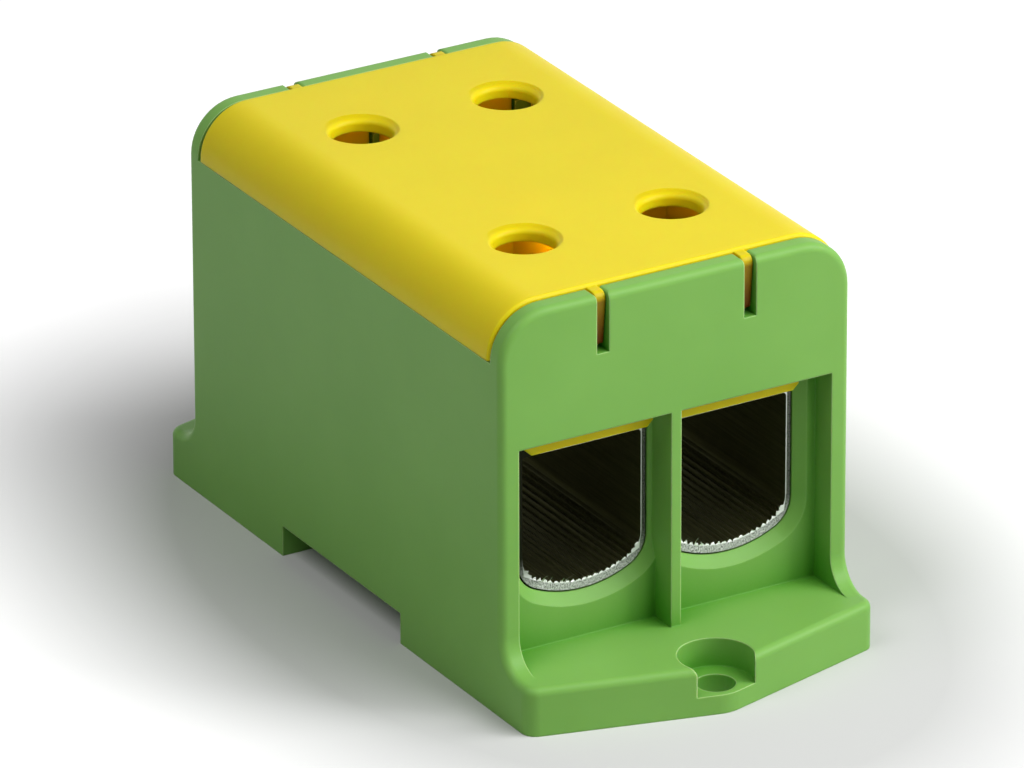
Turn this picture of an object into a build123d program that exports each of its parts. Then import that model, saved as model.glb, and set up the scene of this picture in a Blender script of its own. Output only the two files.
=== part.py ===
"""Two-pole terminal connector for thick conductors, with a moulded housing and a clip-in cover.

Each pole is an extruded metal tube that runs from one end of the housing to the other. A
conductor enters the tube at each end and is clamped by a hex socket screw from above.
X runs across the poles, Y along the conductors, and Z up from the mounting surface.
The origin is the centre of the base.
"""

import os
from math import asin, cos, pi, radians, sin, tan

from build123d import *

# Housing, outside
body_width = 60.0
body_length = 93.2
body_height = 64.3
top_corner_radius = 8.0
edge_radius = 1.2

# Housing, walls
side_wall = 2.15
end_wall = 3.0
jamb_width = 3.1
floor_thickness = 2.7
bulkhead = 2.0
bulkhead_drop = 8.8
pocket_depth = 4.5
lintel_depth = 21.7
centre_rib = 1.7

# Mounting feet at both ends
foot_reach = 7.6
foot_slope = 15.0
foot_corner_radius = 2.4
foot_tip_radius = 6.0
foot_wall = 1.8
flare_radius = 5.0
mount_hole_reach = 11.3
mount_hole_diameter = 6.0
counterbore_diameter = 11.6
counterbore_floor = 3.1
boss_wall = 2.2
underside_rib = 1.7

# Notch and catches for a 35 mm mounting rail
rail_width = 35.0
rail_clearance = 0.6
rail_offset = 0.9
notch_depth = 5.0
notch_wall = 2.0
catch_width = 9.0
catch_pitch = 30.0
catch_reach = 1.2
catch_bottom = 0.8
catch_top = 3.3
spring_catch_width = 16.0
spring_slit = 1.2

# Slots that free the middle of each end wall as a spring tab
tab_slot_width = 2.1
tab_slot_depth = 9.3
tab_corner_radius = 0.5
tab_hook_reach = 0.6
tab_hook_drop = 5.3
tab_hook_height = 1.3
tab_hook_margin = 1.2

# Terminal tubes
tube_width = 21.8
tube_drop = 14.3
tube_seat_height = 14.7
tube_arc_radius = 18.5
tube_corner_radius = 5.0
tube_top_radius = 1.2
tube_wall = 1.1
tube_block = 11.9
relief_depth = 0.6
relief_drop = 7.0
relief_slope = 2.6
tooth_pitch = 1.0
tooth_height = 0.5
tooth_span = 104.0

# Fit of the tubes in the housing
tube_clearance = 0.3
partition = 2.6
partition_clearance = 0.4
lead_in_depth = 1.6
lead_in_width = 1.9
cradle_thickness = 2.0
cradle_height = 28.0
cradle_count = 3

# Clamp screws
screw_diameter = 18.0
screw_length = 18.5
screw_inset = 16.5
screw_clearance = 0.06
screw_recess = 1.0
socket_flats = 8.0
socket_depth = 9.0

# Cover
cover_top = 2.5
cover_rise = 0.4
cover_height = 8.2
cover_side = 2.0
cover_end_clearance = 0.5
cover_seat_clearance = 0.1
cover_rim_chamfer = 0.4
access_hole_diameter = 9.4
access_lead_in = 1.1
guard_plate = 2.0
guard_drop = 1.7
guard_corner = 1.6
cover_rib = 1.6
cover_rib_clearance = 0.3
cover_rib_margin = 0.8
skirt_thickness = 1.5
skirt_depth = 5.6
skirt_clearance = 0.25
skirt_root = 4.0
barb_reach = 0.6
barb_height = 1.4
barb_width = 7.0
barb_inner_x = 3.0
barb_clearance = 0.3
key_clearance = 0.2
key_floor_clearance = 0.9
key_recess = 0.7
key_slant = 0.8
key_step = 0.4
key_radius = 1.2

# How far cuts run past the top, and how closely edges are told apart
cut_margin = 5.0
nearly = 0.01

# Places that follow from the sizes above
half_width = body_width / 2
half_length = body_length / 2
floor_top = notch_depth + floor_thickness
flare_top = floor_top + flare_radius
flare_end = half_length + flare_radius
foot_side = half_length + foot_reach
foot_apex = foot_side + half_width * tan(radians(foot_slope))
mount_hole_y = half_length + mount_hole_reach
notch_front = rail_offset - (rail_width + rail_clearance) / 2
notch_rear = rail_offset + (rail_width + rail_clearance) / 2
pole_pitch = tube_width + 2 * partition_clearance + partition
pole_x = pole_pitch / 2
pocket_back = half_length - pocket_depth
cavity_end = pocket_back - bulkhead
tube_end = pocket_back - lead_in_depth
screw_y = tube_end - screw_inset
cradle_pitch = 2 * cavity_end / cradle_count
tube_top = body_height - tube_drop
bore_ceiling = tube_top - tube_block
lintel_height = body_height - lintel_depth
side_wall_height = body_height - cover_height
bulkhead_height = body_height - bulkhead_drop
tab_slot_floor = body_height - tab_slot_depth
tab_hook_bottom = body_height - tab_hook_drop
wall_inside = half_length - end_wall
cavity_half_width = half_width - side_wall
pocket_half_width = half_width - jamb_width
tab_half_width = pole_x - tab_slot_width / 2
screw_bottom = bore_ceiling + screw_recess
cover_end = wall_inside - cover_end_clearance
cover_bottom = side_wall_height + cover_seat_clearance
cover_crown = body_height + cover_rise
cover_underside = cover_crown - cover_top
cover_rib_bottom = tube_top + cover_rib_clearance
guard_inner = tube_end + tube_clearance
guard_outer = guard_inner + guard_plate
guard_top = cover_crown - cover_top / 2
guard_bottom = bore_ceiling + guard_drop
skirt_inner = cavity_half_width - skirt_clearance - skirt_thickness
skirt_root_width = cavity_half_width + cover_side / 2 - skirt_inner
cover_inner_length = 2 * (cavity_end - cover_rib_margin)
key_width = tab_slot_width - 2 * key_clearance
key_front = half_length - key_recess
key_bottom = tab_slot_floor + key_floor_clearance
key_top = cover_crown - key_step
above = body_height + cut_margin

# Alignment of boxes and cylinders that are placed by their lower face
ON_FLOOR = (Align.CENTER, Align.CENTER, Align.MIN)


def section(x, y):
    """Plane across the conductors at a place on the base, drawn with X to the right and Z up."""
    return Plane(origin=(x, y, 0), x_dir=(1, 0, 0), z_dir=(0, -1, 0))


def side_plane(x):
    """Plane along the conductors, drawn with Y to the right and Z up."""
    return Plane(origin=(x, 0, 0), x_dir=(0, 1, 0), z_dir=(1, 0, 0))


def side_outline():
    """Face of the housing seen from the side, with the ends flaring out to the feet."""
    bow = flare_radius * cos(pi / 4)
    with BuildSketch(side_plane(0)) as outline:
        with BuildLine():
            for end in (-1, 1):
                Line((end * half_length, body_height), (end * half_length, flare_top))
                ThreePointArc(
                    (end * half_length, flare_top),
                    (end * (flare_end - bow), flare_top - bow),
                    (end * flare_end, floor_top),
                )
                Line((end * flare_end, floor_top), (end * foot_apex, floor_top))
                Line((end * foot_apex, floor_top), (end * foot_apex, 0))
            Line((-half_length, body_height), (half_length, body_height))
            Line((-foot_apex, 0), (foot_apex, 0))
        make_face()
    return outline.sketch


def foot_outline(inset):
    """Face of the housing seen from above, with its edge moved inwards."""
    with BuildSketch() as outline:
        with BuildLine():
            Polyline(
                (-half_width, -foot_side),
                (0, -foot_apex),
                (half_width, -foot_side),
                (half_width, foot_side),
                (0, foot_apex),
                (-half_width, foot_side),
                close=True,
            )
        make_face()
        by_x = outline.vertices().group_by(Axis.X)
        fillet(by_x[0] + by_x[2], foot_corner_radius)
        fillet(outline.vertices().filter_by_position(Axis.X, -1, 1), foot_tip_radius)
        if inset > 0:
            offset(amount=-inset, mode=Mode.REPLACE)
    return outline.sketch


def cross_outline(inset, bottom, top):
    """Face of the housing's cross section, with rounded top corners."""
    half = half_width - inset
    with BuildSketch(section(0, 0)) as outline:
        with BuildLine():
            Polyline((-half, bottom), (-half, top), (half, top), (half, bottom), close=True)
        make_face()
        fillet(outline.vertices().group_by(Axis.Y)[-1], top_corner_radius - inset)
    return outline.sketch


def tube_outline(plane, grow, top, top_radius):
    """Face of a tube's outer section, grown on its sides and bottom and cut off at a height."""
    half = tube_width / 2 + grow
    bottom = tube_seat_height - grow
    radius = tube_arc_radius + grow
    rise = radius * (1 - cos(asin(half / radius)))
    with BuildSketch(plane) as outline:
        with BuildLine():
            ThreePointArc((-half, bottom + rise), (0, bottom), (half, bottom + rise))
            Polyline((half, bottom + rise), (half, top), (-half, top), (-half, bottom + rise))
        make_face()
        fillet(outline.vertices().group_by(Axis.Y)[0], tube_corner_radius + grow)
        if top_radius > 0:
            fillet(outline.vertices().group_by(Axis.Y)[-1], top_radius)
    return outline.sketch


def bore_outline(plane):
    """Face of a tube's bore, with the serrated floor, the relieved sides and the flat ceiling."""
    half = tube_width / 2 - tube_wall
    root_radius = tube_arc_radius - tube_wall
    tip_radius = root_radius - tooth_height
    centre_z = tube_seat_height + tube_arc_radius
    relief_low = bore_ceiling - relief_drop
    relief_high = relief_low + relief_slope
    step = tooth_pitch / root_radius
    pairs = int(min(radians(tooth_span) / 2, asin(half / root_radius)) / step)
    teeth = []
    for index in range(-pairs, pairs + 1):
        root = index * step
        teeth.append((root_radius * sin(root), centre_z - root_radius * cos(root)))
        if index < pairs:
            tip = root + step / 2
            teeth.append((tip_radius * sin(tip), centre_z - tip_radius * cos(tip)))
    corner_z = teeth[-1][1] + half - teeth[-1][0]
    with BuildSketch(plane) as outline:
        with BuildLine():
            Polyline(
                *teeth,
                (half, corner_z),
                (half, relief_low),
                (half + relief_depth, relief_high),
                (half + relief_depth, bore_ceiling),
                (-half - relief_depth, bore_ceiling),
                (-half - relief_depth, relief_high),
                (-half, relief_low),
                (-half, corner_z),
                close=True,
            )
        make_face()
    return outline.sketch


def tab_slot_outline(plane):
    """Face of the slot beside a spring tab, with its mouth rounded towards the top."""
    half = tab_slot_width / 2
    mouth = half + tab_corner_radius
    shoulder = body_height - tab_corner_radius
    bow = tab_corner_radius * (1 - cos(pi / 4))
    with BuildSketch(plane) as outline:
        with BuildLine():
            for side in (-1, 1):
                Line((side * half, tab_slot_floor), (side * half, shoulder))
                ThreePointArc(
                    (side * half, shoulder),
                    (side * (half + bow), body_height - bow),
                    (side * mouth, body_height),
                )
                Line((side * mouth, body_height), (side * mouth, above))
            Line((-half, tab_slot_floor), (half, tab_slot_floor))
            Line((-mouth, above), (mouth, above))
        make_face()
    return outline.sketch


# Solid form of the housing, with the rim of both ends rounded
with BuildPart() as housing_form:
    extrude(side_outline(), amount=half_width, both=True)
    extrude(foot_outline(0), amount=above, mode=Mode.INTERSECT)
    extrude(cross_outline(0, 0, body_height), amount=foot_apex, both=True, mode=Mode.INTERSECT)
    end_edges = housing_form.edges().filter_by(
        lambda edge: abs(edge.center().Y) > half_length - nearly
        and edge.center().Z > floor_top - nearly
    )
    flare_seams = end_edges.filter_by(Axis.X).filter_by(
        lambda edge: edge.center().Z < flare_top + nearly
    )
    corner_seams = end_edges.filter_by(Axis.Z).filter_by(
        lambda edge: edge.center().Z < flare_top + nearly
    )
    fillet(end_edges - flare_seams - corner_seams, edge_radius)

# Room for the tube ends, widening towards the end of the housing
with BuildPart() as lead_in:
    loft(
        [
            tube_outline(section(pole_x, -tube_end), tube_clearance, above, 0),
            tube_outline(section(pole_x, -pocket_back), lead_in_width, above, 0),
        ]
    )
    with Locations((centre_rib / 2, 0, 0)):
        Box(
            pocket_half_width - centre_rib / 2,
            body_length,
            2 * above,
            align=(Align.MIN, Align.CENTER, Align.CENTER),
            mode=Mode.INTERSECT,
        )

# Plan of the hollow under the floor, beside the notch for the rail
with BuildSketch() as underside:
    add(foot_outline(foot_wall))
    with Locations((0, rail_offset)):
        Rectangle(body_width, notch_rear - notch_front + 2 * notch_wall, mode=Mode.SUBTRACT)
    with Locations((0, -mount_hole_y), (0, mount_hole_y)):
        Circle(counterbore_diameter / 2 + boss_wall, mode=Mode.SUBTRACT)
    with Locations((-pole_x, 0), (pole_x, 0)):
        Rectangle(underside_rib, 2 * foot_apex, mode=Mode.SUBTRACT)

with BuildPart() as housing:
    add(housing_form.part)

    # Seat of the cover, between the end walls
    with Locations((0, 0, side_wall_height)):
        Box(body_width, 2 * wall_inside, above, align=ON_FLOOR, mode=Mode.SUBTRACT)

    # Two cavities with a partition between them
    for side in (-1, 1):
        with Locations((side * (partition / 2 + cavity_half_width) / 2, 0, floor_top)):
            Box(
                cavity_half_width - partition / 2,
                2 * cavity_end,
                above,
                align=ON_FLOOR,
                mode=Mode.SUBTRACT,
            )
    with Locations((0, 0, tube_top)):
        Box(partition, 2 * cavity_end, above, align=ON_FLOOR, mode=Mode.SUBTRACT)
    with Locations((0, 0, bulkhead_height)):
        Box(2 * cavity_half_width, 2 * pocket_back, above, align=ON_FLOOR, mode=Mode.SUBTRACT)

    # Cradles that carry the tubes along the cavities
    with GridLocations(0, cradle_pitch, 1, cradle_count):
        with Locations((0, 0, floor_top)):
            Box(2 * cavity_half_width, cradle_thickness, cradle_height - floor_top, align=ON_FLOOR)

    # Channels for the tubes, open at the top so that a tube drops in
    for side in (-1, 1):
        channel = tube_outline(section(side * pole_x, 0), tube_clearance, above, 0)
        extrude(channel, amount=tube_end, both=True, mode=Mode.SUBTRACT)
    for turned in (lead_in.part, mirror(lead_in.part, Plane.YZ, mode=Mode.PRIVATE)):
        add(turned, mode=Mode.SUBTRACT)
        add(mirror(turned, Plane.XZ, mode=Mode.PRIVATE), mode=Mode.SUBTRACT)

    # Pockets in front of the tube ends, open between the flares, and the gap above each lintel
    for end in (-1, 1):
        for side in (-1, 1):
            pocket_x = side * (pocket_half_width + centre_rib / 2) / 2
            with Locations((pocket_x, end * (pocket_back + pocket_depth / 2), floor_top)):
                Box(
                    pocket_half_width - centre_rib / 2,
                    pocket_depth,
                    lintel_height - floor_top,
                    align=ON_FLOOR,
                    mode=Mode.SUBTRACT,
                )
            with Locations((pocket_x, end * (pocket_back + wall_inside) / 2, lintel_height)):
                Box(
                    pocket_half_width - centre_rib / 2,
                    wall_inside - pocket_back,
                    above,
                    align=ON_FLOOR,
                    mode=Mode.SUBTRACT,
                )
        with Locations((0, end * (half_length + foot_apex) / 2, floor_top)):
            Box(
                2 * pocket_half_width,
                foot_apex - half_length,
                lintel_height - floor_top,
                align=ON_FLOOR,
                mode=Mode.SUBTRACT,
            )

    # Spring tabs in the end walls, each with a hook that holds the cover down
    for end in (-1, 1):
        for side in (-1, 1):
            slot = tab_slot_outline(section(side * pole_x, end * (wall_inside + end_wall / 2)))
            extrude(slot, amount=end_wall, both=True, mode=Mode.SUBTRACT)
        with BuildSketch(side_plane(0)):
            with BuildLine():
                Polyline(
                    (end * wall_inside, tab_hook_bottom),
                    (end * (wall_inside - tab_hook_reach), tab_hook_bottom),
                    (end * wall_inside, tab_hook_bottom + tab_hook_height),
                    close=True,
                )
            make_face()
        extrude(amount=tab_half_width - tab_hook_margin, both=True)

    # Screw holes in the feet
    with Locations((0, -mount_hole_y, counterbore_floor), (0, mount_hole_y, counterbore_floor)):
        Cylinder(counterbore_diameter / 2, above, align=ON_FLOOR, mode=Mode.SUBTRACT)
        Cylinder(mount_hole_diameter / 2, above, mode=Mode.SUBTRACT)

    # Hollow underside and the notch for the rail
    extrude(underside.sketch, amount=notch_depth, mode=Mode.SUBTRACT)
    with Locations((0, rail_offset, 0)):
        Box(
            body_width,
            notch_rear - notch_front,
            notch_depth,
            align=ON_FLOOR,
            mode=Mode.SUBTRACT,
        )

    # Two fixed catches behind the rail and one spring catch in front of it
    for edge, inward, places, width in (
        (notch_rear, -1, (-catch_pitch / 2, catch_pitch / 2), catch_width),
        (notch_front, 1, (0,), spring_catch_width),
    ):
        for place in places:
            with BuildSketch(side_plane(place)):
                with BuildLine():
                    Polyline(
                        (edge, catch_bottom),
                        (edge, catch_top),
                        (edge + inward * catch_reach, catch_top),
                        (edge + inward * catch_reach, catch_bottom + catch_reach),
                        close=True,
                    )
                make_face()
            extrude(amount=width / 2, both=True)
    slit_x = (spring_catch_width + spring_slit) / 2
    with Locations((-slit_x, notch_front, 0), (slit_x, notch_front, 0)):
        Box(spring_slit, 3 * notch_wall, notch_depth, align=ON_FLOOR, mode=Mode.SUBTRACT)

housing.part.label = "housing"

with BuildPart() as top_cover:
    # Roof and sides, which carry on the rounded section of the housing
    extrude(cross_outline(0, cover_bottom, cover_crown), amount=cover_end, both=True)
    cover_rim = top_cover.edges().filter_by(
        lambda edge: abs(edge.center().Y) > cover_end - nearly
        and edge.center().Z > cover_bottom + nearly
    )
    chamfer(cover_rim, cover_rim_chamfer)
    inside = cross_outline(cover_side, 0, cover_underside)
    extrude(inside, amount=cover_end, both=True, mode=Mode.SUBTRACT)

    # Skirts that stand inside the side walls of the housing
    for side in (-1, 1):
        skirt_x = side * (skirt_inner + skirt_thickness / 2)
        with Locations((skirt_x, 0, side_wall_height - skirt_depth)):
            Box(skirt_thickness, cover_inner_length, skirt_depth + skirt_root, align=ON_FLOOR)
        root_x = side * (skirt_inner + skirt_root_width / 2)
        with Locations((root_x, 0, cover_bottom)):
            Box(skirt_root_width, cover_inner_length, skirt_root, align=ON_FLOOR)

    # Ribs that keep the tubes down
    with Locations((0, 0, cover_rib_bottom)):
        rib_height = cover_underside + nearly - cover_rib_bottom
        Box(2 * skirt_inner + skirt_thickness, cover_rib, rib_height, align=ON_FLOOR)
        Box(cover_rib, cover_inner_length, rib_height, align=ON_FLOOR)

    # Guard plates that close the openings above the tube ends
    for end in (-1, 1):
        for side in (-1, 1):
            middle = end * (guard_inner + guard_outer) / 2
            with BuildSketch(section(side * pole_x, middle)) as plate:
                with Locations((0, (guard_bottom + guard_top) / 2)):
                    Rectangle(tube_width, guard_top - guard_bottom)
                chamfer(plate.vertices().group_by(Axis.Y)[0], guard_corner)
            extrude(amount=guard_plate / 2, both=True)

    # Barbs under the hooks of the spring tabs
    for end in (-1, 1):
        for side in (-1, 1):
            with BuildSketch(side_plane(side * (barb_inner_x + barb_width / 2))):
                with BuildLine():
                    Polyline(
                        (end * guard_outer, tab_hook_bottom - barb_clearance),
                        (end * (guard_outer + barb_reach), tab_hook_bottom - barb_clearance),
                        (end * guard_outer, tab_hook_bottom - barb_clearance - barb_height),
                        close=True,
                    )
                make_face()
            extrude(amount=barb_width / 2, both=True)

    # Keys that fill the slots beside the spring tabs, leaning back towards their lower end
    for end in (-1, 1):
        for side in (-1, 1):
            with BuildSketch(side_plane(side * pole_x)) as key:
                with BuildLine():
                    Polyline(
                        (end * (guard_outer - guard_plate / 2), key_bottom),
                        (end * (key_front - key_slant), key_bottom),
                        (end * key_front, key_top),
                        (end * (guard_outer - guard_plate / 2), key_top),
                        close=True,
                    )
                make_face()
                tips = key.vertices().sort_by(Axis.X)
                fillet(tips[-1 if end > 0 else 0], key_radius)
            extrude(amount=key_width / 2, both=True)

    # Holes with a lead-in, through which a hexagon key reaches the clamp screws
    with BuildSketch(Plane.XY.offset(cover_underside)):
        with GridLocations(pole_pitch, 2 * screw_y, 2, 2):
            Circle(access_hole_diameter / 2)
    extrude(amount=cover_top, mode=Mode.SUBTRACT)
    hole_edges = top_cover.edges().filter_by(GeomType.CIRCLE).filter_by(
        lambda edge: abs(edge.radius - access_hole_diameter / 2) < nearly
    )
    chamfer(hole_edges.group_by(Axis.Z)[-1], access_lead_in)

top_cover.part.label = "top_cover"

parts = [housing.part, top_cover.part]

for side, side_name in ((-1, "left"), (1, "right")):
    # Extruded tube with two tapped holes, their thread left plain
    with BuildPart() as terminal_tube:
        body = tube_outline(section(side * pole_x, 0), 0, tube_top, tube_top_radius)
        extrude(body, amount=tube_end, both=True)
        bore = bore_outline(section(side * pole_x, 0))
        extrude(bore, amount=tube_end, both=True, mode=Mode.SUBTRACT)
        for place_y in (-screw_y, screw_y):
            with Locations((side * pole_x, place_y, bore_ceiling)):
                Cylinder(
                    screw_diameter / 2 + screw_clearance,
                    2 * (tube_top - bore_ceiling),
                    mode=Mode.SUBTRACT,
                )
    terminal_tube.part.label = f"terminal_tube_{side_name}"
    parts.append(terminal_tube.part)

    # Screws with a hexagon socket, raised as far as they go
    for end, end_name in ((-1, "front"), (1, "rear")):
        with BuildPart() as clamp_screw:
            with Locations((side * pole_x, end * screw_y, screw_bottom)):
                Cylinder(screw_diameter / 2, screw_length, align=ON_FLOOR)
            with BuildSketch(Plane.XY.offset(screw_bottom + screw_length)):
                with Locations((side * pole_x, end * screw_y)):
                    RegularPolygon(socket_flats / 2, 6, major_radius=False)
            extrude(amount=-socket_depth, mode=Mode.SUBTRACT)
        clamp_screw.part.label = f"clamp_screw_{end_name}_{side_name}"
        parts.append(clamp_screw.part)

os.makedirs("parts", exist_ok=True)
for part in parts:
    export_step(part, f"parts/{part.label}.step")
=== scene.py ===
"""Looks of a two-pole terminal connector: camera, studio light, materials and the fine pieces."""

import math
import random

import bmesh
import bpy
from mathutils import Euler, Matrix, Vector


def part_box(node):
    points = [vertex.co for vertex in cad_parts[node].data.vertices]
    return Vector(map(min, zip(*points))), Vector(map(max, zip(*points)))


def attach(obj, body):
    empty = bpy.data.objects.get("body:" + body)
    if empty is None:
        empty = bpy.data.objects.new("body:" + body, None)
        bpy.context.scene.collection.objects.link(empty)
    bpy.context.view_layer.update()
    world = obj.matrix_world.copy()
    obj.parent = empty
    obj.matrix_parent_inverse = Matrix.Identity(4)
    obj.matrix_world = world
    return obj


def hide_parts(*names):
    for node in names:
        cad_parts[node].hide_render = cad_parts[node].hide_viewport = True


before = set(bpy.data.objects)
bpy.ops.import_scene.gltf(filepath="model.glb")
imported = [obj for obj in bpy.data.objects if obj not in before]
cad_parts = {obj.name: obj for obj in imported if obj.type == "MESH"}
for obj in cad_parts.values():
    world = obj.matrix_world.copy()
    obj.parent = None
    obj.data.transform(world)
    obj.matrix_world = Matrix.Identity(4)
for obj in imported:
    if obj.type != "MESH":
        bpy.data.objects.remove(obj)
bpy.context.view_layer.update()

MM = 0.001

# Camera, from the straight edges in the photograph
CAMERA_PLACE = Vector((-0.77253, -1.30955, 0.71897))
CAMERA_TURN = (65.59, 0.1457, -30.5843)
CAMERA_LENS = 389.8
CAMERA_REACH = 20.0
SENSOR_WIDTH = 36.0

# Studio lamps: direction from the object, width in metres and power in watts
STUDIO_LAMPS = {
    "key": ((0.3, -0.55, 0.75), 0.45, 4.1),
    "right": ((0.8, -0.6, 0.5), 0.35, 3.2),
    "left_fill": ((-0.55, -0.1, 0.8), 0.45, 2.0),
}
LAMP_DISTANCE = 0.75
LAMP_TARGET = Vector((0, 0, 0.03))

# Lamps under the cover: x and y in millimetres and power in watts
UNDER_COVER_LAMPS = (
    (-6.0, -12.0, 0.002),
    (18.0, -12.0, 0.0009),
    (-6.0, 32.0, 0.0007),
    (18.0, 32.0, 0.0008),
)
UNDER_COVER_HEIGHT = 58.0
UNDER_COVER_SIZE = 0.5 * MM
UNDER_COVER_COLOUR = (1.0, 0.5, 0.12)

# Floor and room: the floor glows less within an oval around the object, a painted shadow on top of its
# cast shadow
FLOOR_HALF = 6.0
FLOOR_GREY = 0.6
OVAL_CENTRE = (2.2 * MM, -7.7 * MM)
OVAL_SQUEEZE = 0.635
SHADOW_OVAL_RADII = (50 * MM, 84 * MM)
SHADOW_OVAL_GLOW = (0.02, 0.6)
ROOM_STRENGTH = 0.06
WHITE = (1.0, 1.0, 1.0, 1.0)

# Places taken from the frame
TUBES = {side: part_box(f"terminal_tube_{side}") for side in ("left", "right")}
SCREWS = {
    (end, side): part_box(f"clamp_screw_{end}_{side}")
    for end in ("front", "rear") for side in ("left", "right")
}
POLE_X = (TUBES["right"][0][0] + TUBES["right"][1][0]) / 2
SCREW_Y = (SCREWS["rear", "right"][0][1] + SCREWS["rear", "right"][1][1]) / 2
TUBE_END = TUBES["right"][1][1]
TUBE_BOTTOM = TUBES["right"][0][2]
TUBE_TOP = TUBES["right"][1][2]
TUBE_HALF = (TUBES["right"][1][0] - TUBES["right"][0][0]) / 2
COVER_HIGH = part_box("top_cover")[1]

# Which way each end faces along Y
ENDS = {"front": -1, "rear": 1}

# Section of the extruded tube
TUBE_ARC_RADIUS = 18.5 * MM
TUBE_CORNER = 5.0 * MM
TUBE_TOP_CORNER = 1.2 * MM
TUBE_FLOOR = 1.1 * MM
TUBE_SIDE = 0.75 * MM
BORE_CEILING = 38.1 * MM
BORE_CORNER = 4.2 * MM
BORE_TOP_CORNER = 0.6 * MM
SECTION_STEP = 0.125 * MM

# Serration of the bore's floor, and how far the saw tore it, in millimetres up and inwards
TOOTH_PITCH = 1.0 * MM
TOOTH_HEIGHT = 0.45 * MM
TOOTH_FULLNESS = 0.6
TOOTH_REACH = 11.0 * MM
TORN_LENGTH = 0.5 * MM
TORN_UP = (-0.12, 0.16)
TORN_BACK = (0.0, 0.08)

# Tapped holes in the tube's top
TAPPED_RADIUS = 9.06 * MM
DRILL_MARGIN = 2 * MM

# Slivers that the saw left: angles in radians round the floor's arc, lengths in millimetres
BURR_COUNT = 6
BURR_ANGLES = (-0.5, -0.15)
BURR_LENGTHS = (0.8, 1.7)
BURR_WIDTH = 0.22 * MM
BURR_FLATNESS = 3
BURR_TIP = 0.02 * MM
BURR_ROOT = 0.15 * MM
BURR_STEPS = 6
BURR_CURL = 0.5
BURR_SWAY = 0.8
BURR_LEAN = 0.2
BEND_SWAY = 1.0
BEND_LEAN = 0.4
BEND_RISE = 0.1

# Guard plate of the cover
GUARD_FACES = (40.79 * MM, 42.82 * MM)
GUARD_BOTTOM = 39.8 * MM
GUARD_CORNER = 1.6 * MM
GUARD_LIP = 39.3 * MM
GUARD_LIP_CORNER = 1.0 * MM
GUARD_ROUND = 0.12 * MM
GUARD_ROUND_STEPS = 2

# Key holes of the cover: their lead-ins are rounded from the rim to the bore
KEY_HOLE_RADIUS = 4.7 * MM
LEAD_IN_RADIUS = 5.6 * MM
LEAD_IN_DEPTH = 1.15 * MM
LEAD_IN_MARGIN = 0.5 * MM
LEAD_IN_LEAN = 0.95

# Keys of the cover, in from its end and down from its top, where they carry painted shade down in the
# slots
KEY_FACE = (2.6 * MM, 2.4 * MM)
KEY_UPPER = (2.0 * MM, 0.1 * MM)
KEY_LOWER = (8.0 * MM, 3.0 * MM)

# Clamp screw
THREAD_PITCH = 1.5 * MM
THREAD_DEPTH = 0.85 * MM
THREAD_FLAT = 0.12
THREAD_STEPS = 8
SCREW_SEGMENTS = 96
DOG_RADIUS = 7.3 * MM
DOG_LENGTH = 1.3 * MM
DOG_CHAMFER = 0.4 * MM
TOP_CHAMFER = 0.8 * MM
SOCKET_FLATS = 8.0 * MM
SOCKET_DEPTH = 9.0 * MM
SOCKET_CHAMFER = 0.35 * MM
DRILL_SHARE = 0.98
DRILL_TIP = 1.4 * MM
SHARP_ANGLE = math.radians(40)

# The middle of a noise, where most of its values lie
NOISE_MIDDLE = (0.3, 0.7)

# Moulded plastic: noise scales per metre, and heights of the relief
FLOW_SCALE = 38
STREAK_SCALE = (260, 260, 34)
STREAK_HEIGHT = 0.012 * MM
PLASTIC_GRAIN_SCALE = 5200
PLASTIC_GRAIN_HEIGHT = 0.004 * MM
PLASTIC_ROUGHNESS_SPREAD = 0.04
PLASTIC_SPECULAR = 0.15
PLASTIC_IOR = 1.5
EDGE_SOFTENING = 0.4 * MM
EDGE_SAMPLES = 8
GLOW_RADIUS = (1.0, 0.5, 0.1)
COVER_GLOW_SCALE = 2.5 * MM
HOUSING_GLOW_SCALE = 1.2 * MM

# Painted shade in the corners and painted highlights along the edges of the housing: each ramp is a range
# and what its ends become
CORNER_REACH = 9 * MM
CORNER_SHADE_RAMP = (0.25, 0.8, 0.85, 0.0)
EDGE_HIGHLIGHT_RAMP = (0.76, 0.94, 0.6, 0.0)
OPEN_REACH = 1.5 * MM
OPEN_RAMP = (0.75, 0.95, 0.0, 1.0)
SHELTER_SAMPLES = 6

# Aluminium: noise scales per metre, heights of the relief, and roughness
FINE_SCALE = 3000
DRAWN_SCALE = (2600, 60, 2600)
DRAWN_HEIGHT = 0.02 * MM
CUT_SCALE = (5200, 1, 3600)
CUT_HEIGHT = 0.05 * MM
PITTED_RANGE = (0.42, 0.62)
ALUMINIUM_ROUGHNESS = (0.32, 0.5)
SAWN_ROUGHNESS = 0.12
SAWN_FACING = (0.5, 0.7)

# Sawn ends: heights above the tube's bottom, and the burr's place as a share of the wall; the side walls'
# ends are darkened upwards as painted shade, and so is the left tube's outer wall within a reach
FLOOR_ENDS = 3 * MM
SIDE_SHADE_STARTS = 2 * MM
SIDE_STARTS = 7 * MM
RIM_PLACE = (0.98, 0.74)
RIM_RAMP = (0.0, 0.14, 0.0, 0.85)
LEFT_WALL_SHADE_REACH = 3 * MM

# Plated steel: noise scales per metre, height of the relief, and roughness
STEEL_SCALE = 900
TURNED_SCALE = (90, 90, 4200)
TURNED_HEIGHT = 0.012 * MM
STEEL_ROUGHNESS = (0.28, 0.42)


def linear(red, green, blue):
    """Linear colour of an 8-bit screen colour."""
    values = []
    for value in (red, green, blue):
        share = value / 255
        values.append(share / 12.92 if share <= 0.04045 else ((share + 0.055) / 1.055) ** 2.4)
    return (*values, 1.0)


def pole_x(side):
    """Middle of the left or the right pole."""
    return POLE_X if side == "right" else -POLE_X


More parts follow.
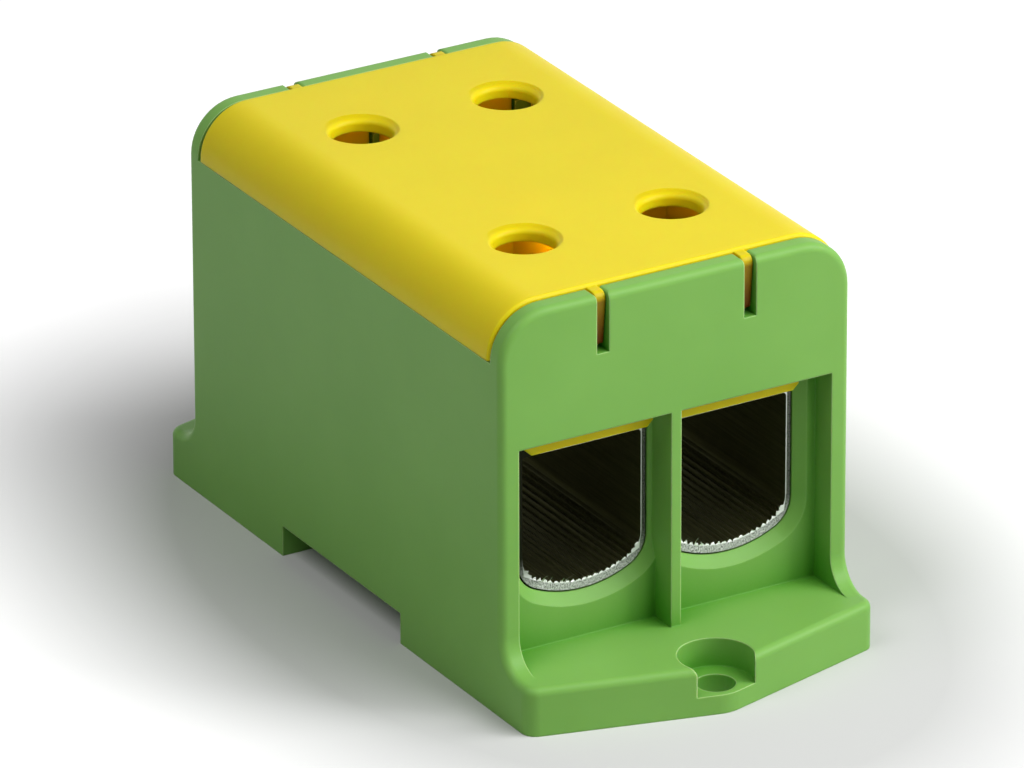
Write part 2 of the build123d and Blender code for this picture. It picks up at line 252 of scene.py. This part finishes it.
def add_camera():
    """The camera at the photograph's viewing angle."""
    data = bpy.data.cameras.new("camera")
    data.lens = CAMERA_LENS
    data.sensor_width = SENSOR_WIDTH
    data.clip_end = CAMERA_REACH
    camera = bpy.data.objects.new("camera", data)
    camera.location = CAMERA_PLACE
    camera.rotation_euler = Euler([math.radians(angle) for angle in CAMERA_TURN])
    bpy.context.scene.collection.objects.link(camera)
    bpy.context.scene.camera = camera


def add_area(name, towards, size, watts):
    """A square soft lamp that looks at the object from a direction."""
    data = bpy.data.lights.new(name, "AREA")
    data.size = size
    data.energy = watts
    lamp = bpy.data.objects.new(name, data)
    lamp.location = Vector(towards).normalized() * LAMP_DISTANCE + LAMP_TARGET
    lamp.rotation_euler = Vector(towards).to_track_quat("Z", "Y").to_euler()
    bpy.context.scene.collection.objects.link(lamp)


def light_under_cover():
    """Small lamps for the light that the yellow cover lets through to the space below it."""
    for x, y, watts in UNDER_COVER_LAMPS:
        data = bpy.data.lights.new("under_cover", "POINT")
        data.shadow_soft_size = UNDER_COVER_SIZE
        data.energy = watts
        data.color = UNDER_COVER_COLOUR
        lamp = bpy.data.objects.new("under_cover", data)
        lamp.location = Vector((x, y, UNDER_COVER_HEIGHT)) * MM
        lamp.visible_camera = False
        lamp.visible_glossy = False
        bpy.context.scene.collection.objects.link(lamp)


class Nodes:
    """Short names for building a material's node tree."""

    def __init__(self, name):
        self.material = bpy.data.materials.new(name)
        self.material.use_nodes = True
        self.tree = self.material.node_tree
        self.tree.nodes.clear()
        self.output = self.tree.nodes.new("ShaderNodeOutputMaterial")

    def add(self, kind, **inputs):
        """A new node, with values or sockets for its inputs by name, and settings by attribute."""
        node = self.tree.nodes.new("ShaderNode" + kind)
        for key, value in inputs.items():
            name = key.replace("_", " ")
            if name in node.inputs:
                self.put(node.inputs[name], value)
            else:
                setattr(node, key, value)
        return node

    def put(self, socket, value):
        """Links a socket to another, or gives it a plain value."""
        if isinstance(value, bpy.types.NodeSocket):
            self.tree.links.new(value, socket)
        else:
            socket.default_value = value

    def place(self):
        """The object's own coordinates."""
        return self.add("TexCoord").outputs["Object"]

    def axes(self, vector):
        """The three parts of a vector."""
        node = self.add("SeparateXYZ")
        self.put(node.inputs[0], vector)
        return node.outputs

    def noise(self, scale, detail, roughness):
        """Noise over the object's own coordinates."""
        node = self.add("TexNoise", Scale=scale, Detail=detail, Roughness=roughness)
        self.put(node.inputs["Vector"], self.place())
        return node.outputs["Fac"]

    def stretched_noise(self, scale, detail, roughness):
        """Noise over the object's own coordinates, with a scale for each axis."""
        stretch = self.add("Mapping", Scale=scale)
        self.put(stretch.inputs["Vector"], self.place())
        node = self.add("TexNoise", Scale=1.0, Detail=detail, Roughness=roughness)
        self.put(node.inputs["Vector"], stretch.outputs["Vector"])
        return node.outputs["Fac"]

    def ramp(self, value, low, high, out_low, out_high, style="LINEAR"):
        """A value mapped from one range to another, held at both ends."""
        node = self.add("MapRange", interpolation_type=style)
        self.put(node.inputs["Value"], value)
        for socket, number in zip(node.inputs[1:5], (low, high, out_low, out_high)):
            socket.default_value = number
        return node.outputs["Result"]

    def mix(self, share, first, second):
        """One colour mixed with another."""
        node = self.add("Mix", data_type="RGBA")
        sockets = (node.inputs[0], node.inputs[6], node.inputs[7])
        for socket, value in zip(sockets, (share, first, second)):
            self.put(socket, value)
        return node.outputs[2]

    def math(self, operation, *values):
        """A sum, product or other result of one or two values."""
        node = self.add("Math", operation=operation)
        for socket, value in zip(node.inputs, values):
            self.put(socket, value)
        return node.outputs[0]

    def radius(self, first, second):
        """Distance from the origin of two parts of a vector."""
        squares = [self.math("MULTIPLY", value, value) for value in (first, second)]
        return self.math("SQRT", self.math("ADD", *squares))

    def bump(self, height, distance, strength=1.0, normal=None):
        """A bump of a height map over a normal, at most as high as a distance."""
        node = self.add("Bump", Distance=distance, Strength=strength)
        self.put(node.inputs["Height"], height)
        if normal:
            self.put(node.inputs["Normal"], normal)
        return node.outputs["Normal"]

    def finish(self, shader):
        """Links the surface and gives back the material."""
        self.put(self.output.inputs["Surface"], shader)
        return self.material


def key_hole_normal(nodes, normal):
    """The surface normal, rounded over the lead-ins of the cover's key holes."""
    x, y, z = nodes.axes(nodes.place())
    from_pole = nodes.math("SUBTRACT", nodes.math("ABSOLUTE", x), POLE_X)
    from_screw = nodes.math("SUBTRACT", nodes.math("ABSOLUTE", y), SCREW_Y)
    distance = nodes.radius(from_pole, from_screw)
    lean = nodes.ramp(distance, KEY_HOLE_RADIUS, LEAD_IN_RADIUS, LEAD_IN_LEAN, 0.0, "SMOOTHSTEP")
    inwards = nodes.math("DIVIDE", nodes.math("MULTIPLY", lean, -1.0), distance)
    rounded = nodes.add("CombineXYZ")
    for socket, part, axis in zip(rounded.inputs, (from_pole, from_screw), (x, y)):
        sided = nodes.math("MULTIPLY", part, nodes.math("SIGN", axis))
        nodes.put(socket, nodes.math("MULTIPLY", sided, inwards))
    upright = nodes.math("SUBTRACT", 1.0, nodes.math("MULTIPLY", lean, lean))
    nodes.put(rounded.inputs[2], nodes.math("SQRT", upright))
    near = nodes.math("LESS_THAN", distance, LEAD_IN_RADIUS + LEAD_IN_MARGIN)
    high = nodes.math("GREATER_THAN", z, COVER_HIGH[2] - LEAD_IN_DEPTH)
    share = nodes.math("MULTIPLY", near, high)
    blend = nodes.add("Mix", data_type="VECTOR")
    sockets = (blend.inputs[0], blend.inputs[4], blend.inputs[5])
    for socket, value in zip(sockets, (share, normal, rounded.outputs[0])):
        nodes.put(socket, value)
    return blend.outputs[1]


def key_painted_shade(nodes, tone):
    """The cover's colour with painted shade on the keys that stand down in the slots of the end walls."""
    _, y, z = nodes.axes(nodes.place())
    face = [COVER_HIGH[1] - inset for inset in KEY_FACE]
    end = nodes.ramp(nodes.math("ABSOLUTE", y), *face, 0.0, 1.0)
    upper = nodes.ramp(z, *(COVER_HIGH[2] - drop for drop in KEY_UPPER), 1.0, 0.0)
    lower = nodes.ramp(z, *(COVER_HIGH[2] - drop for drop in KEY_LOWER), 1.0, 0.0)
    # Painted shade: amber on the upper part of the keys, dark brown lower down in the slots
    shaded_upper = nodes.mix(nodes.math("MULTIPLY", end, upper), tone, linear(146, 114, 8))
    return nodes.mix(nodes.math("MULTIPLY", end, lower), shaded_upper, linear(118, 62, 12))


def open_share(nodes, reach):
    """How open the surface lies, with 0 for a closed corner and 1 for free air within a reach."""
    node = nodes.add("AmbientOcclusion", samples=SHELTER_SAMPLES, only_local=True, Distance=reach)
    return node.outputs["AO"]


def painted_corner_shade_and_edge_highlight(nodes, tone, rounded):
    """The housing's colour with painted shade, deeper in its corners, and painted highlights, paler along
    its outer edges.
    """
    # Painted shade: a deeper, more saturated green in closed corners
    corner = nodes.ramp(open_share(nodes, CORNER_REACH), *CORNER_SHADE_RAMP)
    tone = nodes.mix(corner, tone, linear(58, 140, 12))
    turned = nodes.add("VectorMath", operation="DOT_PRODUCT")
    nodes.put(turned.inputs[0], rounded)
    nodes.put(turned.inputs[1], nodes.add("NewGeometry").outputs["Normal"])
    # Painted highlight: paler green along the open outer edges
    edge = nodes.ramp(turned.outputs["Value"], *EDGE_HIGHLIGHT_RAMP)
    outer = nodes.ramp(open_share(nodes, OPEN_REACH), *OPEN_RAMP)
    return nodes.mix(nodes.math("MULTIPLY", edge, outer), tone, linear(200, 228, 168))


def moulded_plastic(name, colour, shade, glow, roughness, cover=False):
    """Satin moulded plastic with faint flow mottling, fine grain and softened edges.

    The cover also has rounded lead-ins and painted shade on its keys down in the slots, and the housing
    painted shade in its corners and painted highlights along its edges.
    """
    nodes = Nodes(name)
    flow = nodes.ramp(nodes.noise(FLOW_SCALE, 3.0, 0.6), *NOISE_MIDDLE, 0.0, 1.0)
    streaks = nodes.stretched_noise(STREAK_SCALE, 3.0, 0.6)
    grain = nodes.noise(PLASTIC_GRAIN_SCALE, 2.0, 0.6)
    tone = nodes.mix(flow, colour, shade)
    shape = nodes.add("Bevel", Radius=EDGE_SOFTENING, samples=EDGE_SAMPLES).outputs["Normal"]
    if cover:
        shape = key_hole_normal(nodes, shape)
        tone = key_painted_shade(nodes, tone)
    else:
        tone = painted_corner_shade_and_edge_highlight(nodes, tone, shape)
    grained = nodes.bump(grain, PLASTIC_GRAIN_HEIGHT, 1.0, shape)
    rough = [roughness + sign * PLASTIC_ROUGHNESS_SPREAD for sign in (-1, 1)]
    shader = nodes.add("BsdfPrincipled")
    nodes.put(shader.inputs["Base Color"], tone)
    nodes.put(shader.inputs["Roughness"], nodes.ramp(grain, *NOISE_MIDDLE, *rough))
    nodes.put(shader.inputs["Normal"], nodes.bump(streaks, STREAK_HEIGHT, 1.0, grained))
    shader.inputs["Subsurface Weight"].default_value = glow
    shader.inputs["Subsurface Radius"].default_value = GLOW_RADIUS
    shader.inputs["Subsurface Scale"].default_value = COVER_GLOW_SCALE if cover else HOUSING_GLOW_SCALE
    shader.inputs["Specular IOR Level"].default_value = PLASTIC_SPECULAR
    shader.inputs["IOR"].default_value = PLASTIC_IOR
    return nodes.finish(shader.outputs["BSDF"])


def sawn_aluminium(name):
    """Extruded aluminium, darker and olive in the bore, with a bright and rough sawn finish on its ends
    and painted shade on the ends of the side walls.
    """
    nodes = Nodes(name)
    x, y, z = nodes.axes(nodes.place())
    facing = nodes.math("ABSOLUTE", nodes.axes(nodes.add("TexCoord").outputs["Normal"])[1])
    sawn = nodes.ramp(facing, *SAWN_FACING, 0.0, 1.0)
    across = nodes.math("SUBTRACT", nodes.math("ABSOLUTE", x), POLE_X)
    up = nodes.math("SUBTRACT", z, TUBE_BOTTOM + TUBE_ARC_RADIUS)
    arc = nodes.math("LESS_THAN", nodes.radius(across, up), TUBE_ARC_RADIUS - TUBE_FLOOR / 2)
    inner = nodes.math("LESS_THAN", nodes.math("ABSOLUTE", across), TUBE_HALF - TUBE_SIDE / 2)
    bore = nodes.math("MULTIPLY", arc, inner)

    # The saw left a bright burr along the inner edge, with darker and pitted metal around it; the ends of
    # the side walls are darker still, a painted shade
    from_arc = nodes.math("SUBTRACT", TUBE_ARC_RADIUS, nodes.radius(across, up))
    from_side = nodes.math("SUBTRACT", TUBE_HALF, nodes.math("ABSOLUTE", across))
    depth = nodes.math("MINIMUM", from_arc, from_side)
    floor_ends, side_starts = TUBE_BOTTOM + FLOOR_ENDS, TUBE_BOTTOM + SIDE_STARTS
    wall = nodes.ramp(z, floor_ends, side_starts, TUBE_FLOOR, TUBE_SIDE)
    rim_place = nodes.ramp(z, floor_ends, side_starts, *RIM_PLACE)
    beyond = nodes.math("SUBTRACT", nodes.math("DIVIDE", depth, wall), rim_place)
    rim = nodes.ramp(beyond, *RIM_RAMP)
    high = nodes.ramp(z, TUBE_BOTTOM + SIDE_SHADE_STARTS, side_starts, 0.0, 1.0)

    # Painted shade: the end of the outer wall of the left tube is darkened
    outermost = nodes.math("LESS_THAN", x, TUBE_SIDE + LEFT_WALL_SHADE_REACH - POLE_X - TUBE_HALF)
    shaded_left_wall = nodes.math("MULTIPLY", high, outermost)

    fine = nodes.noise(FINE_SCALE, 3.0, 0.7)
    drawn = nodes.stretched_noise(DRAWN_SCALE, 4.0, 0.65)
    cut = nodes.stretched_noise(CUT_SCALE, 3.0, 0.7)
    pitted = nodes.ramp(cut, *PITTED_RANGE, 0.0, 1.0)
    mill = nodes.mix(drawn, linear(196, 197, 196), linear(140, 141, 141))
    # Darker, olive tones inside the bore
    bore_darker = nodes.mix(drawn, linear(150, 150, 104), linear(62, 64, 38))
    floor_tone = nodes.mix(pitted, linear(214, 216, 214), linear(92, 96, 90))
    # Painted shade: the ends of the side walls are darker than the floor's end
    side_tone = nodes.mix(pitted, linear(112, 116, 108), linear(30, 34, 26))
    around = nodes.mix(high, floor_tone, side_tone)
    burred = nodes.mix(rim, around, linear(250, 252, 250))
    end_tone = nodes.mix(shaded_left_wall, burred, linear(26, 28, 18))
    body = nodes.mix(bore, mill, bore_darker)
    shader = nodes.add("BsdfPrincipled", Metallic=1.0)
    nodes.put(shader.inputs["Base Color"], nodes.mix(sawn, body, end_tone))
    smooth = nodes.ramp(fine, *NOISE_MIDDLE, *ALUMINIUM_ROUGHNESS)
    rough = nodes.math("ADD", smooth, nodes.math("MULTIPLY", sawn, SAWN_ROUGHNESS))
    nodes.put(shader.inputs["Roughness"], rough)
    lines = nodes.bump(drawn, DRAWN_HEIGHT)
    nodes.put(shader.inputs["Normal"], nodes.bump(cut, CUT_HEIGHT, sawn, lines))
    return nodes.finish(shader.outputs["BSDF"])


def plated_steel(name):
    """Zinc plated steel with fine turning marks."""
    nodes = Nodes(name)
    shader = nodes.add("BsdfPrincipled", Metallic=1.0)
    fine = nodes.noise(STEEL_SCALE, 3.0, 0.6)
    turned = nodes.stretched_noise(TURNED_SCALE, 2.0, 0.6)
    tone = nodes.mix(fine, linear(176, 177, 176), linear(126, 127, 129))
    nodes.put(shader.inputs["Base Color"], tone)
    nodes.put(shader.inputs["Roughness"], nodes.ramp(fine, *NOISE_MIDDLE, *STEEL_ROUGHNESS))
    nodes.put(shader.inputs["Normal"], nodes.bump(turned, TURNED_HEIGHT))
    return nodes.finish(shader.outputs["BSDF"])


def dress(node, material):
    """Gives a node of the frame its material."""
    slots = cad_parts[node].data.materials
    slots.clear()
    slots.append(material)


def new_piece(name, mesh_maker, material, body):
    """A piece of the scene, from a function that fills a bmesh, riding on a body."""
    shape = bmesh.new()
    mesh_maker(shape)
    mesh = bpy.data.meshes.new(name)
    shape.to_mesh(mesh)
    shape.free()
    mesh.materials.append(material)
    piece = bpy.data.objects.new(name, mesh)
    bpy.context.scene.collection.objects.link(piece)
    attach(piece, body)
    return piece


def add_ring(shape, radii, height, centre):
    """A closed ring of points around an upright axis, with one radius for each point."""
    points = []
    for index, radius in enumerate(radii):
        angle = 2 * math.pi * index / len(radii)
        offset = Vector((radius * math.cos(angle), radius * math.sin(angle), height))
        points.append(shape.verts.new(centre + offset))
    return points


def bridge(shape, lower, upper):
    """Faces between two rings of as many points."""
    count = len(lower)
    for index in range(count):
        after = (index + 1) % count
        shape.faces.new((lower[index], lower[after], upper[after], upper[index]))


def close_solid(shape, rings):
    """Faces between neighbouring rings, and a face over each end."""
    for lower, upper in zip(rings, rings[1:]):
        bridge(shape, lower, upper)
    shape.faces.new(list(reversed(rings[0])))
    shape.faces.new(rings[-1])


def thread_radius(radius, turn, height, length):
    """Radius of a chamfered screw with a dog point, at a share of a turn and a height."""
    wave = abs(2 * ((height / THREAD_PITCH - turn) % 1.0) - 1)
    groove = THREAD_DEPTH * min(max((wave - THREAD_FLAT) / (1 - 2 * THREAD_FLAT), 0.0), 1.0)
    if height < DOG_LENGTH:
        return DOG_RADIUS - max(0.0, DOG_CHAMFER - height)
    from_dog = DOG_RADIUS + (height - DOG_LENGTH)
    from_top = radius - TOP_CHAMFER + (length - height)
    return min(radius - groove, from_dog, from_top)


def hexagon_radius(flats, turn):
    """Distance from the centre to a hexagon's side, at a share of a turn."""
    sixth = math.pi / 3
    return flats / 2 / math.cos((2 * math.pi * turn + sixth / 2) % sixth - sixth / 2)


def threaded_screw(low, high):
    """A function that fills a bmesh with a threaded socket screw, in the box of the plain one."""
    radius = (high[0] - low[0]) / 2
    length = high[2] - low[2]
    centre = Vector(((low[0] + high[0]) / 2, (low[1] + high[1]) / 2, low[2]))
    turns = [index / SCREW_SEGMENTS for index in range(SCREW_SEGMENTS)]

    def fill(shape):
        rows = round(length / THREAD_PITCH * THREAD_STEPS)
        rings = []
        for row in range(rows + 1):
            height = length * row / rows
            radii = [thread_radius(radius, turn, height, length) for turn in turns]
            rings.append(add_ring(shape, radii, height, centre))
        mouth = [hexagon_radius(SOCKET_FLATS, turn) for turn in turns]
        rim = [SOCKET_FLATS / math.sqrt(3) + SOCKET_CHAMFER] * SCREW_SEGMENTS
        drill = [SOCKET_FLATS / 2 * DRILL_SHARE] * SCREW_SEGMENTS
        rings.append(add_ring(shape, rim, length, centre))
        rings.append(add_ring(shape, mouth, length - SOCKET_CHAMFER, centre))
        rings.append(add_ring(shape, mouth, length - SOCKET_DEPTH, centre))
        rings.append(add_ring(shape, drill, length - SOCKET_DEPTH, centre))
        for lower, upper in zip(rings, rings[1:]):
            bridge(shape, lower, upper)
        tip = shape.verts.new(centre + Vector((0, 0, length - SOCKET_DEPTH - DRILL_TIP)))
        for index in range(SCREW_SEGMENTS):
            shape.faces.new((rings[-1][index], rings[-1][(index + 1) % SCREW_SEGMENTS], tip))
        shape.faces.new(list(reversed(rings[0])))
        bmesh.ops.recalc_face_normals(shape, faces=shape.faces)

    return fill


def half_section(side_inset, floor_inset, corner, top, top_corner):
    """Points of half a tube's section, from the middle of its floor to the middle of its top.

    Each comes with the direction to the inside and its distance along the outline.
    """
    radius = TUBE_ARC_RADIUS - floor_inset
    centre_z = TUBE_BOTTOM + TUBE_ARC_RADIUS
    half = TUBE_HALF - side_inset
    corner_x = half - corner
    corner_z = centre_z - math.sqrt((radius - corner) ** 2 - corner_x ** 2)
    lean = math.asin(corner_x / (radius - corner))
    arcs = (
        (0.0, centre_z, radius, 0.0, lean),
        (corner_x, corner_z, corner, lean, math.pi / 2),
        (half - top_corner, top - top_corner, top_corner, math.pi / 2, math.pi),
    )
    points = []
    along = 0.0
    for x, z, size, first, last in arcs:
        steps = math.ceil(size * (last - first) / SECTION_STEP)
        for step in range(steps + 1):
            angle = first + (last - first) * step / steps
            inward = Vector((-math.sin(angle), 0, math.cos(angle)))
            place = Vector((x, 0, z)) - inward * size
            if points:
                along += (place - points[-1][0]).length
            if not points or (place - points[-1][0]).length > SECTION_STEP / 4:
                points.append((place, inward, along))
    return points


def tooth_rise(along):
    """Height of the serration at a distance from the middle of the bore's floor."""
    if along > TOOTH_REACH:
        return 0.0
    wave = 1 - abs(2 * ((along / TOOTH_PITCH) % 1.0) - 1)
    return TOOTH_HEIGHT * wave ** TOOTH_FULLNESS


def section_ring(shape, half_points, offset, rise, chance, torn):
    """A ring of points for a section, serrated and, where it was sawn, torn."""
    ring = []
    for side, points in ((1, half_points), (-1, list(reversed(half_points))[:-1])):
        for place, inward, along in points:
            lift = rise(along)
            if torn and lift > 0:
                lift += chance.uniform(*TORN_UP) * MM
            spot = place + inward * lift
            depth = chance.uniform(*TORN_BACK) * MM if torn and lift > 0 else 0.0
            shift = Vector((0, -math.copysign(depth, offset.y), 0))
            ring.append(shape.verts.new(Vector((side * spot.x, 0, spot.z)) + offset + shift))
    return ring


def sawn_tube(side):
    """A function that fills a bmesh with a tube whose bore is serrated and whose ends are sawn."""
    chance = random.Random(side)

    def fill(shape):
        outer = half_section(0.0, 0.0, TUBE_CORNER, TUBE_TOP, TUBE_TOP_CORNER)
        inner = half_section(TUBE_SIDE, TUBE_FLOOR, BORE_CORNER, BORE_CEILING, BORE_TOP_CORNER)
        ends = []
        for points, rise in ((outer, lambda along: 0.0), (inner, tooth_rise)):
            rings = []
            for y in (-TUBE_END, -TUBE_END + TORN_LENGTH, TUBE_END - TORN_LENGTH, TUBE_END):
                offset = Vector((pole_x(side), y, 0))
                rings.append(section_ring(shape, points, offset, rise, chance, abs(y) == TUBE_END))
            for lower, upper in zip(rings, rings[1:]):
                bridge(shape, lower, upper)
            ends.append((rings[0], rings[-1]))
        for outer_ring, inner_ring in zip(*ends):
            edges = []
            for ring in (outer_ring, inner_ring):
                for index, point in enumerate(ring):
                    edges.append(shape.edges.get((point, ring[(index + 1) % len(ring)])))
            bmesh.ops.triangle_fill(shape, use_beauty=True, edges=edges, normal=(0, 1, 0))
        bmesh.ops.recalc_face_normals(shape, faces=shape.faces)

    return fill


def tap_holes(tube, side):
    """Cuts the two tapped holes into the top of a tube."""
    shape = bmesh.new()
    radii = [TAPPED_RADIUS] * SCREW_SEGMENTS
    for y in (-SCREW_Y, SCREW_Y):
        base = Vector((pole_x(side), y, 0))
        heights = (BORE_CEILING - DRILL_MARGIN, TUBE_TOP + DRILL_MARGIN)
        close_solid(shape, [add_ring(shape, radii, height, base) for height in heights])
    mesh = bpy.data.meshes.new("drill")
    shape.to_mesh(mesh)
    shape.free()
    drill = bpy.data.objects.new("drill", mesh)
    bpy.context.scene.collection.objects.link(drill)
    cut = tube.modifiers.new("tap", "BOOLEAN")
    cut.operation = "DIFFERENCE"
    cut.solver = "EXACT"
    cut.object = drill
    bpy.context.view_layer.update()
    cleared = bpy.data.meshes.new_from_object(tube.evaluated_get(bpy.context.evaluated_depsgraph_get()))
    tube.modifiers.clear()
    tube.data = cleared
    bpy.data.objects.remove(drill)


def guard_edge(side, end):
    """A function that fills a bmesh with the lower edge of a guard plate, before the tube's top wall."""
    shoulder = GUARD_BOTTOM + GUARD_CORNER
    lip_shoulder = GUARD_LIP + GUARD_LIP_CORNER
    lip_half = TUBE_HALF - GUARD_LIP_CORNER
    outline = (
        (-TUBE_HALF, shoulder), (-TUBE_HALF, lip_shoulder), (-lip_half, GUARD_LIP),
        (lip_half, GUARD_LIP), (TUBE_HALF, lip_shoulder), (TUBE_HALF, shoulder),
    )

    def fill(shape):
        rings = []
        for y in GUARD_FACES:
            rings.append([shape.verts.new((pole_x(side) + x, end * y, z)) for x, z in outline])
        close_solid(shape, rings)
        bmesh.ops.recalc_face_normals(shape, faces=shape.faces)
        bmesh.ops.bevel(
            shape, geom=shape.edges[:], offset=GUARD_ROUND, segments=GUARD_ROUND_STEPS,
            profile=0.5, affect="EDGES",
        )

    return fill


def sliver(shape, root, direction, curl, length, width):
    """A thin curled burr that narrows to a point."""
    side = direction.cross(curl).normalized()
    rows = []
    for step in range(BURR_STEPS + 1):
        share = step / BURR_STEPS
        middle = root + direction * length * share + curl * length * BURR_CURL * share * share
        half = width / 2 * (1 - share) + BURR_TIP
        thick = width / BURR_FLATNESS * (1 - share) + BURR_TIP
        corners = ((-half, 0), (0, thick), (half, 0), (0, -thick))
        rows.append([shape.verts.new(middle + side * across + curl * up) for across, up in corners])
    close_solid(shape, rows)


def saw_burrs(side, end, seed):
    """A function that fills a bmesh with the slivers that the saw left at a corner of a tube's floor."""
    centre_z = TUBE_BOTTOM + TUBE_ARC_RADIUS
    radius = TUBE_ARC_RADIUS - TUBE_FLOOR
    root_y = end * (TUBE_END - BURR_ROOT)
    chance = random.Random(seed)

    def fill(shape):
        for _ in range(BURR_COUNT):
            angle = chance.uniform(*BURR_ANGLES)
            root_x = pole_x(side) + radius * math.sin(angle)
            root = Vector((root_x, root_y, centre_z - radius * math.cos(angle)))
            lift = Vector((chance.uniform(-BURR_SWAY, BURR_SWAY), end * BURR_LEAN, 1.0)).normalized()
            bend = Vector((chance.uniform(-BEND_SWAY, BEND_SWAY), end * BEND_LEAN, BEND_RISE)).normalized()
            sliver(shape, root, lift, bend, chance.uniform(*BURR_LENGTHS) * MM, BURR_WIDTH)
        bmesh.ops.recalc_face_normals(shape, faces=shape.faces)

    return fill


def add_floor():
    """A wide pale floor that shows white to the camera and keeps the object's shadow, with a painted
    shadow where it glows less around the object.
    """
    mesh = bpy.data.meshes.new("floor")
    corners = [(x * FLOOR_HALF, y * FLOOR_HALF, 0) for x, y in ((-1, -1), (1, -1), (1, 1), (-1, 1))]
    mesh.from_pydata(corners, [], [(0, 1, 2, 3)])
    floor = bpy.data.objects.new("floor", mesh)
    bpy.context.scene.collection.objects.link(floor)
    nodes = Nodes("floor")
    paint = nodes.add("BsdfDiffuse", Color=(FLOOR_GREY, FLOOR_GREY, FLOOR_GREY, 1.0))
    x, y, _ = nodes.axes(nodes.place())
    along = nodes.math("MULTIPLY", nodes.math("SUBTRACT", y, OVAL_CENTRE[1]), OVAL_SQUEEZE)
    away = nodes.radius(nodes.math("SUBTRACT", x, OVAL_CENTRE[0]), along)
    glow = nodes.add("Emission", Color=WHITE)
    path = nodes.add("LightPath")
    mirrored = nodes.math("MAXIMUM", path.outputs["Is Glossy Ray"], path.outputs["Is Transmission Ray"])
    seen = nodes.math("MAXIMUM", path.outputs["Is Camera Ray"], mirrored)
    # Painted shadow: the glow fades within the oval around the object
    strength = nodes.ramp(away, *SHADOW_OVAL_RADII, *SHADOW_OVAL_GLOW)
    nodes.put(glow.inputs["Strength"], nodes.math("MULTIPLY", seen, strength))
    both = nodes.add("AddShader")
    nodes.put(both.inputs[0], paint.outputs["BSDF"])
    nodes.put(both.inputs[1], glow.outputs["Emission"])
    mesh.materials.append(nodes.finish(both.outputs[0]))


def light_world():
    """A pale studio that shows white where the camera sees it, directly or mirrored."""
    world = bpy.data.worlds.new("studio")
    bpy.context.scene.world = world
    world.use_nodes = True
    tree = world.node_tree
    tree.nodes.clear()
    output = tree.nodes.new("ShaderNodeOutputWorld")
    path = tree.nodes.new("ShaderNodeLightPath")
    backgrounds = []
    for strength in (ROOM_STRENGTH, 1.0):
        background = tree.nodes.new("ShaderNodeBackground")
        background.inputs["Color"].default_value = WHITE
        background.inputs["Strength"].default_value = strength
        backgrounds.append(background)
    choice = tree.nodes.new("ShaderNodeMixShader")
    seen = path.outputs["Is Camera Ray"]
    for ray in ("Is Glossy Ray", "Is Transmission Ray"):
        either = tree.nodes.new("ShaderNodeMath")
        either.operation = "MAXIMUM"
        tree.links.new(seen, either.inputs[0])
        tree.links.new(path.outputs[ray], either.inputs[1])
        seen = either.outputs[0]
    tree.links.new(seen, choice.inputs[0])
    for background, socket in zip(backgrounds, choice.inputs[1:]):
        tree.links.new(background.outputs[0], socket)
    tree.links.new(choice.outputs[0], output.inputs["Surface"])


bpy.context.scene.view_settings.view_transform = "Standard"
add_camera()
add_floor()
light_world()
for lamp_name, (towards, size, watts) in STUDIO_LAMPS.items():
    add_area(lamp_name, towards, size, watts)
light_under_cover()

green = moulded_plastic("green_plastic", linear(121, 173, 82), linear(115, 167, 77), 0.15, 0.38)
yellow = moulded_plastic("yellow_plastic", linear(225, 206, 12), linear(221, 201, 10), 0.5, 0.4, True)
aluminium = sawn_aluminium("sawn_aluminium")
steel = plated_steel("plated_steel")
dress("housing", green)
dress("top_cover", yellow)
for side in ("left", "right"):
    tube = new_piece(f"sawn_tube_{side}", sawn_tube(side), aluminium, "base")
    tap_holes(tube, side)
    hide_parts(f"terminal_tube_{side}")

for (end, side), (low, high) in SCREWS.items():
    node = f"clamp_screw_{end}_{side}"
    body = f"screw_{end}_{side}"
    screw = new_piece(f"threaded_{node}", threaded_screw(low, high), steel, body)
    screw.data.shade_smooth()
    screw.data.set_sharp_from_angle(angle=SHARP_ANGLE)
    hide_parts(node)

for seed, (end, side) in enumerate(SCREWS):
    burrs = saw_burrs(side, ENDS[end], seed)
    new_piece(f"saw_burrs_{end}_{side}", burrs, aluminium, "base")
    edge = guard_edge(side, ENDS[end])
    new_piece(f"guard_edge_{end}_{side}", edge, yellow, "base")
